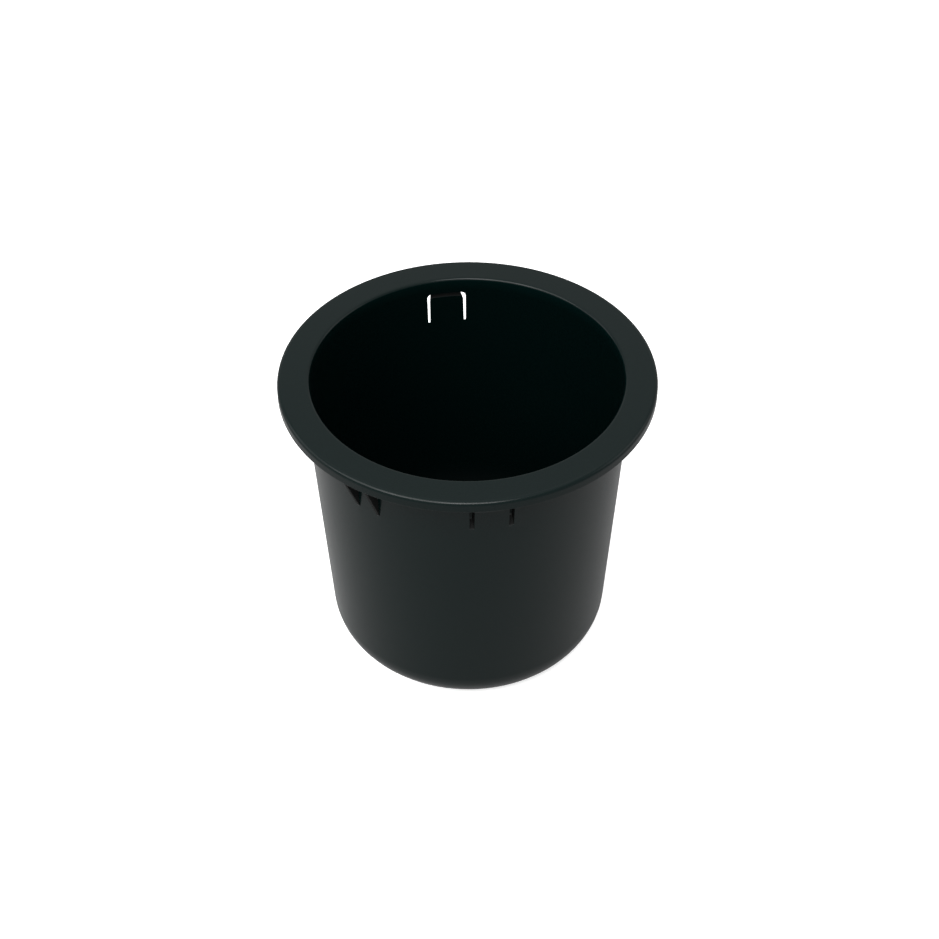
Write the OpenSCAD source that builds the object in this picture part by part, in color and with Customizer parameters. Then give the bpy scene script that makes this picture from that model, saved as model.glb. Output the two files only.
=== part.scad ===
// Drop-in cup holder for a car console, one moulding in black plastic.
// It hangs by its flange in a round hole of a panel. Two spring fingers, cut free in
// the side wall, snap out under the panel, and pairs of triangular ribs under the
// flange fit notches of the hole, so that the cup can't turn. A ring on the base lets
// it stand on a bench. Millimetres and degrees. The axis is z, the foot stands on
// z = 0, and azimuths are counted from the front, which is -y, towards +x.

/* [Cup] */
// Height from the foot to the top face of the flange
cup_h = 97; // [80:0.5:130]
// Diameter of the mouth in the plane of the top face
mouth_d = 90; // [80:0.5:96]
// Radius of the rounded edge of the mouth
mouth_r = 0.9; // [0.4:0.1:1.5]
// Thickness of the side wall, measured level
wall = 2.2; // [1.6:0.1:3]
// Draft of the side wall
draft = 3.3; // [1:0.1:5]
// Thickness of the floor
floor_t = 2.2; // [1.6:0.1:4]
// Radius of the outer corner between the side wall and the base
base_r = 12.5; // [6:0.5:18]

/* [Flange] */
// Diameter of the flange
flange_d = 108.5; // [105:0.5:120]
// Thickness of the flange's plate
flange_t = 2.2; // [1.6:0.1:2.8]
// Depth of the turned-down lip, from the top face to its seat on the panel
lip_h = 3.3; // [3.1:0.1:6]
// Thickness of the turned-down lip
lip_t = 2; // [1.4:0.1:2.5]
// Radius of the flange's outer top edge
edge_r = 1.2; // [0.4:0.1:1.8]
// Radius of the lip's outer lower edge
toe_r = 0.2; // [0.1:0.1:0.5]
// Fillet between the flange's underside and the side wall
neck_r = 0.8; // [0.4:0.1:1]

/* [Foot ring] */
// How far the ring's outside lies in from the wall, carried down to the base
foot_in = 7.7; // [5:0.1:12]
// Height of the foot ring below the base
foot_h = 1.2; // [0.8:0.1:2]
// Width of the foot ring
foot_w = 2.6; // [2:0.1:5]
// Radius of the foot ring's lower edges
foot_r = 0.4; // [0.2:0.1:0.6]

/* [Spring fingers] */
// Number of spring fingers around the cup
finger_n = 2; // [1:1:4]
// Azimuth of the first finger
finger_az = 8.1; // [-30:0.1:30]
// Width of a finger, on the inside of the wall
finger_w = 10.3; // [6:0.1:14]
// Length of a finger outside, from its root up to its free end
finger_h = 11.4; // [8:0.1:20]
// Radius of the two corners of a finger's free end
finger_r = 1.2; // [0.6:0.1:2]
// Thickness of the panel that the fingers snap under
panel_t = 3; // [1.5:0.1:5]
// Gap over a finger's free end
finger_gap = 1.4; // [0.8:0.1:2]
// Width of the slits beside a finger, on the inside of the wall
slit_w = 0.7; // [0.6:0.1:1.5]
// How much wider the slits are on the outside of the wall
slit_flare = 0.9; // [0.2:0.1:1.2]
// How much higher the slits end on the inside of the wall
slit_rise = 2.6; // [0:0.1:3]
// How far a finger's catch stands out of the wall
catch_out = 0.8; // [0.3:0.1:1.5]
// Height of the ramp that leads onto the catch
catch_h = 4.4; // [3:0.1:6]

/* [Ribs] */
// Number of rib pairs around the cup
rib_n = 2; // [1:1:4]
// Azimuth from a finger to the middle of the next pair
rib_az = -45; // [-60:0.1:-30]
// Azimuth between the two ribs of a pair
rib_pair = 8.6; // [5:0.1:14]
// Thickness of a rib
rib_t = 1; // [0.8:0.1:2]
// Height of a rib below the panel seat
rib_h = 15.7; // [8:0.1:20]
// How far a rib reaches in under the lip
rib_bite = 0.4; // [0.2:0.1:0.8]

/* [Hidden] */
$fn = 144;
// Tool overlap of the cuts
over = 1;
// Half the angle of the narrow flat along the middle of the mouth's and the flange's
// rounded edges. It parts each rounding in two bands, which mesh more evenly than one
flat_a = 5;

// Heights of the flange's faces
plate_z = cup_h - flange_t;
seat_z = cup_h - lip_h;
// Radii of the flange
flange_r = flange_d / 2;
lip_in_r = flange_r - lip_t;
// Floor and base
base_z = foot_h;
floor_z = base_z + floor_t;
hollow_r = base_r - wall;
foot_out_r = outer_r(base_z) - foot_in;
// Heights of a finger
finger_top = seat_z - panel_t;
finger_root = finger_top - finger_h;
slot_top = finger_top + finger_gap;
slot_half = finger_w / 2 + slit_w;
slit_mid = (finger_w + slit_w) / 2;

// Radius of the wall's outside and inside at height z
function outer_r(z) = mouth_d / 2 + wall - (cup_h - z) * tan(draft);
function inner_r(z) = outer_r(z) - wall;
// Centre of a corner of radius r between a drafted wall and the level z, and the point
// where that corner runs into the wall; at_r is the wall's radius at the centre's height
function corner(at_r, z, r) = [at_r - r / cos(draft), z + r];
function run_in(c, r) = c + r * [cos(draft), -sin(draft)];
// Centre of the corner under the wall, and the height of the base's underside at radius r
base_c = corner(outer_r(base_z + base_r), base_z, base_r);
function under(r) = base_c[1] - sqrt(pow(base_r, 2) - pow(max(r - base_c[0], 0), 2));

// Circle of radius r with the narrow flat on the side that faces the angle a
module rounding(r, a) {
    intersection() {
        circle(r);
        rotate(a)
            translate([-r, -r])
                square([r + r * cos(flat_a), 2 * r]);
    }
}

// Half section of a tapered tub with a rounded corner, from the level z0 up to z1
module tub(corner_at, r, z0, z1, r1) {
    corner_end = run_in(corner_at, r);
    polygon([[0, z0], [corner_at[0], z0], corner_end, [r1, z1], [0, z1]]);
    translate(corner_at)
        circle(r);
}

// Half section of the cup's outside, up to the middle of the flange's plate
module outside() {
    z1 = plate_z + flange_t / 2;
    tub(base_c, base_r, base_z, z1, outer_r(z1));
}

// Half section of the hollow, with the rounded edge of the mouth
module hollow() {
    c = corner(inner_r(floor_z + hollow_r), floor_z, hollow_r);
    tub(c, hollow_r, floor_z, cup_h + over, inner_r(cup_h + over));
    edge_z = cup_h - mouth_r;
    edge_c = [inner_r(edge_z) + mouth_r / cos(draft), edge_z];
    edge_end = edge_c - mouth_r * [cos(draft), -sin(draft)];
    difference() {
        polygon([edge_end, [edge_end[0], cup_h + over], [edge_c[0], cup_h + over], edge_c]);
        translate(edge_c)
            rounding(mouth_r, 126);
    }
}

// Half section of the flange with its lip, its edges rounded
module flange() {
    polygon([
        [inner_r(plate_z), plate_z],
        [inner_r(plate_z), cup_h],
        [flange_r - edge_r, cup_h],
        [flange_r, cup_h - edge_r],
        [flange_r, seat_z + toe_r],
        [flange_r - toe_r, seat_z],
        [lip_in_r, seat_z],
        [lip_in_r, plate_z],
    ]);
    translate([flange_r - edge_r, cup_h - edge_r])
        rounding(edge_r, 45);
    translate([flange_r - toe_r, seat_z + toe_r])
        circle(toe_r);
    neck();
}

// Half section of the fillet between the flange's underside and the wall
module neck() {
    c = [outer_r(plate_z - neck_r) + neck_r / cos(draft), plate_z - neck_r];
    end = c - neck_r * [cos(draft), -sin(draft)];
    difference() {
        polygon([
            end,
            [end[0] - wall / 2, end[1]],
            [end[0] - wall / 2, plate_z + over],
            [c[0], plate_z + over],
            c,
        ]);
        translate(c)
            circle(neck_r);
    }
}

// Half section of the foot ring, from z = 0 up into the floor and the base's corner
module foot() {
    r1 = foot_out_r;
    r0 = r1 - foot_w;
    polygon([
        [r0, foot_r],
        [r0 + foot_r, 0],
        [r1 - foot_r, 0],
        [r1, foot_r],
        [r1, under(r1) + floor_t / 2],
        [r0, under(r0) + floor_t / 2],
    ]);
    translate([r1 - foot_r, foot_r])
        circle(foot_r);
    translate([r0 + foot_r, foot_r])
        circle(foot_r);
}

// Turns its children's x axis to an azimuth
module at(az) {
    rotate(az - 90)
        children();
}

// Cuts a finger free of the wall: a slit on each side, joined by the gap over its end
module finger_slot() {
    r0 = inner_r(finger_root) - over;
    r1 = outer_r(slot_top) + catch_out + over;
    // The slits widen by this much a side for each millimetre outwards
    flare = slit_flare / 2 / wall;
    w0 = slit_w / 2 - flare * over;
    w1 = slit_w / 2 + flare * (r1 - inner_r(slot_top));
    low = finger_root - slit_rise - over;
    intersection() {
        for (side = [-1, 1])
            translate([0, side * slit_mid, low])
                linear_extrude(slot_top - low - finger_r)
                    polygon([[r0, -w0], [r1, -w1], [r1, w1], [r0, w0]]);
        slit_ends(r0, r1);
    }
    translate([r0, 0, 0])
        rotate([90, 0, 90])
            linear_extrude(r1 - r0)
                end_gap();
}

// Block over the plane in which the slits end, which rises to the inside
module slit_ends(r0, r1) {
    slope = slit_rise / wall;
    rise = slope * (outer_r(finger_root) - r0);
    fall = slope * (r1 - outer_r(finger_root));
    rotate([90, 0, 0])
        linear_extrude(4 * slit_mid, center = true)
            polygon([
                [r0, finger_root + rise],
                [r1, finger_root - fall],
                [r1, slot_top],
                [r0, slot_top],
            ]);
}

// Outline of the gap over a finger's free end, with rounded corners
module end_gap() {
    low = slot_top - finger_gap - finger_r;
    difference() {
        union() {
            translate([-slot_half, low])
                square([2 * slot_half, slot_top - finger_r - low]);
            translate([-slot_half + finger_r, low])
                square([2 * (slot_half - finger_r), slot_top - low]);
            for (side = [-1, 1])
                translate([side * (slot_half - finger_r), slot_top - finger_r])
                    circle(finger_r);
        }
        finger_end(low);
    }
}

// Outline of a finger's free end above the height low
module finger_end(low) {
    half = finger_w / 2;
    translate([-half, low - over])
        square([2 * half, finger_top - finger_r - low + over]);
    translate([-half + finger_r, low - over])
        square([2 * (half - finger_r), finger_top - low + over]);
    for (side = [-1, 1])
        translate([side * (half - finger_r), finger_top - finger_r])
            circle(finger_r);
}

// Catch on a finger: a ramp that follows the wall round. The slot trims it to the finger
module catch() {
    z0 = finger_top - catch_h;
    z1 = finger_top - catch_out;
    z2 = finger_top + finger_gap / 2;
    r1 = outer_r(finger_top) + catch_out;
    slope = (r1 - outer_r(z0)) / (z1 - z0);
    intersection() {
        rotate_extrude()
            polygon([
                [outer_r(z0) - wall / 2, z0 - over],
                [outer_r(z0) - slope * over, z0 - over],
                [r1, z1],
                [r1, z2],
                [outer_r(z0) - wall / 2, z2],
            ]);
        translate([0, -slit_mid, 0])
            cube([flange_r, 2 * slit_mid, z2]);
    }
}

// Triangular rib from the wall out to the lip, up into the flange's plate
module rib() {
    z0 = seat_z - rib_h;
    z1 = plate_z + flange_t / 2;
    tip = lip_in_r + rib_bite;
    rotate([90, 0, 0])
        linear_extrude(rib_t, center = true)
            polygon([
                [outer_r(z0) - wall / 2, z0],
                [outer_r(z0), z0],
                [tip, seat_z],
                [tip, z1],
                [outer_r(z1) - wall / 2, z1],
            ]);
}

// The whole moulding
module cup_holder() {
    color("#2b2e30") {
        difference() {
            union() {
                rotate_extrude()
                    outside();
                rotate_extrude()
                    flange();
                rotate_extrude()
                    foot();
                for (k = [0 : rib_n - 1])
                    for (side = [-0.5, 0.5])
                        at(finger_az + rib_az + side * rib_pair + k * 360 / rib_n)
                            rib();
                for (k = [0 : finger_n - 1])
                    at(finger_az + k * 360 / finger_n)
                        catch();
            }
            rotate_extrude()
                hollow();
            for (k = [0 : finger_n - 1])
                at(finger_az + k * 360 / finger_n)
                    finger_slot();
        }
    }
}

cup_holder();
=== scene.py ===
"""Looks of the drop-in cup holder: satin black plastic, soft light, the photograph's camera."""
import math

import bmesh
import bpy
from mathutils import Euler, Matrix, Vector


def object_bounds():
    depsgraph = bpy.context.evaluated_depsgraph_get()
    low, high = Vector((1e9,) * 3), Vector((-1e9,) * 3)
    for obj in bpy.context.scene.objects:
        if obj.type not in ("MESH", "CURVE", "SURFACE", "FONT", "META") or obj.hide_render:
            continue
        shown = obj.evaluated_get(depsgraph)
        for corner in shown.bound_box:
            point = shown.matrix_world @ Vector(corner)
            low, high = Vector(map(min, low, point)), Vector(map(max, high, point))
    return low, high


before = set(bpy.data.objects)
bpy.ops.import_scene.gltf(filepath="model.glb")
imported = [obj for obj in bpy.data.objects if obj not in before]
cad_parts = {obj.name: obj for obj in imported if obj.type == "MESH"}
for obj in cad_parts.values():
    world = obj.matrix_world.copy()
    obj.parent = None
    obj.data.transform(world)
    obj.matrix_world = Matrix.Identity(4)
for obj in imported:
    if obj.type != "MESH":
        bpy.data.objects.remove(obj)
CAD_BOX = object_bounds()
LOW, HIGH = CAD_BOX
SCENE = bpy.context.scene
SCENE.view_settings.view_transform = "Standard"

# The photograph's frame and the camera that was fitted to it. Angles in degrees, lengths
# in metres. The camera looks at the middle of the flange's top face, then moves by SLIDE.
FRAME_PX = 939
FOCAL_PX = 1850
SENSOR_MM = 36
PITCH = 42.384
ROLL = -0.330
DISTANCE = 0.52707
SLIDE = (-0.000600, 0.027558)
NEAR_CLIP = 0.01

# Soft boxes that face the cup: azimuth from the front towards +x, elevation, distance,
# side and radiance
LAMPS = {
    "back": (180, 40, 1.5, 1.4, 0.16),
    "over": (180, 85, 1.1, 1.4, 0.48),
    "left": (-98, 25, 1.45, 1.0, 1.15),
    "right": (98, 25, 1.45, 1.0, 0.85),
    "front_left": (-62, 42, 1.4, 0.9, 3.2),
    "front_middle": (-28, 44, 1.4, 0.9, 4.8),
    "front": (4, 52, 1.4, 0.6, 8.8),
}
AIM = Vector((0, 0, 0.09))
# Light from all round
WORLD = 0.52

# The side wall, repeated from the part: outer radius at the top face, thickness, draft in
# degrees, and the heights between which the slits and ribs lie
OUTER_R = 0.0472
WALL = 0.0022
DRAFT = 3.3
FINE = (0.07, 0.0938)
# Where the dull finish and painted shade of the ribs and slits set in and are full, by how far a
# point lies off the turned wall. It starts past the facets' own error.
OFF_WALL = (0.00007, 0.00017)
# Where the hollow's painted shade and dull floor set in and are full, by how far a face looks up
LOOKS_UP = (-0.02, 0.02)
# Depths under the top face between which the painted shade of the hollow runs out at the mouth
MOUTH = (0.004, 0.001)
# Heights between which the dull floor runs out up the hollow's wall
FLOOR = (0.014, 0.026)

# The plastic: its two tints, the dark tint of painted shade, and how far the hollow goes to it
TINTS = ((0.0003, 0.0038, 0.0036, 1), (0.0006, 0.0048, 0.0046, 1))
PAINTED_SHADE_TINT = (0.0002, 0.0006, 0.0006, 1)
HOLLOW_PAINTED_SHADE = 0.45
# Its roughness, which drifts between two values, what a dull finish adds, and its specular level
ROUGHNESS = (0.2, 0.25)
DULL = 0.5
SPECULAR = 0.2
# Its noises, as scale and detail: grain of the mould, drift of the gloss, flecks in the tint
GRAIN = (2600, 3.0)
DRIFT = (22, 3.0)
FLECK = (900, 1.0)
# Strength and depth of the grain
GRAIN_BUMP = {"Strength": 0.35, "Distance": 0.00002}

# The stage's paper: its fibre, the fibre's bump, roughness and specular level
FIBRE = (400, 3.0)
FIBRE_BUMP = {"Strength": 0.05, "Distance": 0.0002}
PAPER_ROUGHNESS = 0.9
PAPER_SPECULAR = 0.1
# The table that only lights the cup, which ends towards the camera, its tone and its drop
# below the foot
TABLE = (-1.5, -0.4, 1.5, 1.5)
TABLE_TONE = 0.35
TABLE_DROP = 0.0001
# The white that the camera sees: tone, drop and half side of the ground, radius of the
# backdrop, and the glow of each
WHITE_TONE = 0.9
GROUND_DROP = 0.00005
GROUND_HALF = 3
BACKDROP_R = 2.9
GROUND_GLOW = 0.5
BACKDROP_GLOW = 1


def camera():
    """The photograph's view: pitched down at the cup's front, with a hair of roll."""
    pitch, roll = math.radians(PITCH), math.radians(ROLL)
    back = Vector((0, -math.cos(pitch), math.sin(pitch)))
    side = Vector((1, 0, 0))
    up = back.cross(side)
    right = side * math.cos(roll) + up * math.sin(roll)
    top = up * math.cos(roll) - side * math.sin(roll)
    place = Vector((0, 0, HIGH.z)) + back * DISTANCE - right * SLIDE[0] - top * SLIDE[1]
    turn = Matrix((right, top, back)).transposed().to_4x4()
    data = bpy.data.cameras.new("camera")
    data.sensor_width = SENSOR_MM
    data.lens = FOCAL_PX * SENSOR_MM / FRAME_PX
    data.clip_start = NEAR_CLIP
    cam = bpy.data.objects.new("camera", data)
    cam.matrix_world = Matrix.Translation(place) @ turn
    SCENE.collection.objects.link(cam)
    SCENE.camera = cam


class Shader:
    """A short way to write a node material."""

    def __init__(self, name):
        self.material = bpy.data.materials.new(name)
        self.material.use_nodes = True
        self.tree = self.material.node_tree
        self.tree.nodes.clear()
        self.out = self.tree.nodes.new("ShaderNodeOutputMaterial")

    def feed(self, socket, value):
        """Links another node's output to a socket, or sets it to a value."""
        if isinstance(value, bpy.types.NodeSocket):
            self.tree.links.new(value, socket)
        else:
            socket.default_value = value

    def node(self, kind, **sockets):
        """Adds a node. Sockets take a value or another node's output."""
        made = self.tree.nodes.new("ShaderNode" + kind)
        for name, value in sockets.items():
            self.feed(made.inputs[name.replace("_", " ")], value)
        return made

    def noise(self, place, scale, detail):
        """Noise of features about 1 / scale metres wide."""
        return self.node("TexNoise", Vector=place, Scale=scale, Detail=detail).outputs["Fac"]

    def spread(self, value, low, high, start=0.3, end=0.7):
        """Maps start to end, by default the range that noise keeps to, onto low to high."""
        ranged = self.node("MapRange", Value=value, From_Min=start, From_Max=end,
                           To_Min=low, To_Max=high)
        return ranged.outputs["Result"]

    def math(self, operation, a, b=0.0):
        """Sum, product or the like of two numbers or outputs."""
        made = self.node("Math")
        made.operation = operation
        self.feed(made.inputs[0], a)
        self.feed(made.inputs[1], b)
        return made.outputs["Value"]

    def mix(self, share, a, b):
        """Colour a, or b where the share is 1."""
        made = self.tree.nodes.new("ShaderNodeMix")
        made.data_type = "RGBA"
        for name, value in (("Factor", share), ("A", a), ("B", b)):
            self.feed(made.inputs[name], value)
        return made.outputs["Result"]

    def surface(self, base, specular, **sockets):
        """Ends the material in a Principled shader, which it returns."""
        made = self.node("BsdfPrincipled", **sockets)
        self.feed(made.inputs["Base Color"], base)
        made.inputs["Specular IOR Level"].default_value = specular
        self.tree.links.new(made.outputs["BSDF"], self.out.inputs["Surface"])
        return made


def off_wall(s, split):
    """1 on the ribs, the catches and the cut faces of the slits, 0 on the turned surfaces."""
    squares = [s.math("POWER", split[axis], 2.0) for axis in "XY"]
    radius = s.math("SQRT", s.math("ADD", *squares))
    depth = s.math("SUBTRACT", HIGH.z, split["Z"])
    taper = s.math("MULTIPLY", depth, math.tan(math.radians(DRAFT)))
    off = s.math("SUBTRACT", s.math("ADD", radius, taper), OUTER_R)
    outer = s.spread(s.math("ABSOLUTE", off), 0, 1, *OFF_WALL)
    inner = s.spread(s.math("ABSOLUTE", s.math("ADD", off, WALL)), 0, 1, *OFF_WALL)
    above = s.math("GREATER_THAN", split["Z"], FINE[0])
    band = s.math("MULTIPLY", above, s.math("LESS_THAN", split["Z"], FINE[1]))
    return s.math("MULTIPLY", s.math("MULTIPLY", outer, inner), band)


def in_hollow(s, split, normal):
    """1 on the inside of the cup, whose faces look up a little, up to the edge of the mouth."""
    rise = s.node("SeparateXYZ", Vector=normal).outputs["Z"]
    below = s.spread(split["Z"], 1, 0, *(HIGH.z - depth for depth in MOUTH))
    return s.math("MULTIPLY", s.spread(rise, 0, 1, *LOOKS_UP), below)


def black_plastic():
    """Near-black moulded plastic: a fine even grain, a gloss that drifts with the flow, painted
    shade in the hollow with a dull floor, and ribs and slits rougher as the mould's inserts
    leave them, with painted shade on them."""
    s = Shader("black_plastic_grain")
    coordinates = s.node("TexCoord").outputs
    place = coordinates["Object"]
    split = s.node("SeparateXYZ", Vector=place).outputs
    # Ribs and slits' cut faces: more roughness, and painted shade in the colour
    dull_and_painted_shade = off_wall(s, split)
    hollow = in_hollow(s, split, coordinates["Normal"])
    floor = s.math("MULTIPLY", hollow, s.spread(split["Z"], 1, 0, *FLOOR))
    tint = s.mix(s.noise(place, *FLECK), *TINTS)
    # Painted shade: full on the ribs and the slits' cut faces, part way in the hollow
    painted_shade = s.math("MAXIMUM", dull_and_painted_shade, s.math("MULTIPLY", hollow, HOLLOW_PAINTED_SHADE))
    worn = s.math("MULTIPLY", s.math("MAXIMUM", dull_and_painted_shade, floor), DULL)
    rough = s.math("ADD", s.spread(s.noise(place, *DRIFT), *ROUGHNESS), worn)
    bump = s.node("Bump", Height=s.noise(place, *GRAIN), **GRAIN_BUMP)
    # The colour darkens towards the dark tint where the shade is painted
    base = s.mix(painted_shade, tint, PAINTED_SHADE_TINT)
    s.surface(base, SPECULAR, Roughness=rough, Normal=bump.outputs["Normal"])
    return s.material


def paper(name, tone, glow):
    """Paper with a trace of fibre. Its own glow keeps shadows off it."""
    s = Shader(name)
    fibre = s.noise(s.node("TexCoord").outputs["Object"], *FIBRE)
    bump = s.node("Bump", Height=fibre, **FIBRE_BUMP)
    shader = s.surface((tone, tone, tone, 1), PAPER_SPECULAR, Roughness=PAPER_ROUGHNESS,
                       Normal=bump.outputs["Normal"])
    shader.inputs["Emission Color"].default_value = (1, 1, 1, 1)
    shader.inputs["Emission Strength"].default_value = glow
    return s.material


def staged(name, form, material):
    """A stage object made from a bmesh."""
    mesh = bpy.data.meshes.new(name)
    form.to_mesh(mesh)
    form.free()
    mesh.materials.append(material)
    made = bpy.data.objects.new(name, mesh)
    SCENE.collection.objects.link(made)
    return made


def plate(x0, y0, x1, y1):
    """A flat level rectangle."""
    form = bmesh.new()
    corners = ((x0, y0), (x1, y0), (x1, y1), (x0, y1))
    form.faces.new([form.verts.new((x, y, 0)) for x, y in corners])
    return form


def stage():
    """The table that lights the cup, and the white ground and backdrop that the camera sees."""
    table = staged("table", plate(*TABLE), paper("table_paper", TABLE_TONE, 0))
    table.location.z = LOW.z - TABLE_DROP
    table.visible_camera = False
    span = (-GROUND_HALF, -GROUND_HALF, GROUND_HALF, GROUND_HALF)
    ground = staged("ground", plate(*span), paper("white_ground", WHITE_TONE, GROUND_GLOW))
    ground.location.z = LOW.z - GROUND_DROP
    dome = bmesh.new()
    bmesh.ops.create_uvsphere(dome, u_segments=48, v_segments=24, radius=BACKDROP_R)
    backdrop = staged("backdrop", dome, paper("white_backdrop", WHITE_TONE, BACKDROP_GLOW))
    for seen in (ground, backdrop):
        seen.visible_diffuse = seen.visible_glossy = seen.visible_shadow = False


def softbox(name, azimuth, elevation, distance, side, radiance):
    """A square area light that faces the cup."""
    data = bpy.data.lights.new(name, "AREA")
    data.shape = "SQUARE"
    data.size = side
    data.energy = radiance * math.pi * side * side
    light = bpy.data.objects.new(name, data)
    turn = Euler((math.radians(90 - elevation), 0, math.radians(azimuth)))
    light.location = AIM + turn.to_matrix() @ Vector((0, 0, distance))
    light.rotation_euler = turn
    SCENE.collection.objects.link(light)


def studio():
    """Soft light from all round and the soft boxes."""
    world = bpy.data.worlds.new("studio")
    world.use_nodes = True
    back = world.node_tree.nodes["Background"]
    back.inputs["Color"].default_value = (1, 1, 1, 1)
    back.inputs["Strength"].default_value = WORLD
    SCENE.world = world
    for name, lamp in LAMPS.items():
        softbox(name, *lamp)


camera()
plastic = black_plastic()
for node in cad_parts.values():
    for slot in node.material_slots:
        slot.material = plastic
stage()
studio()
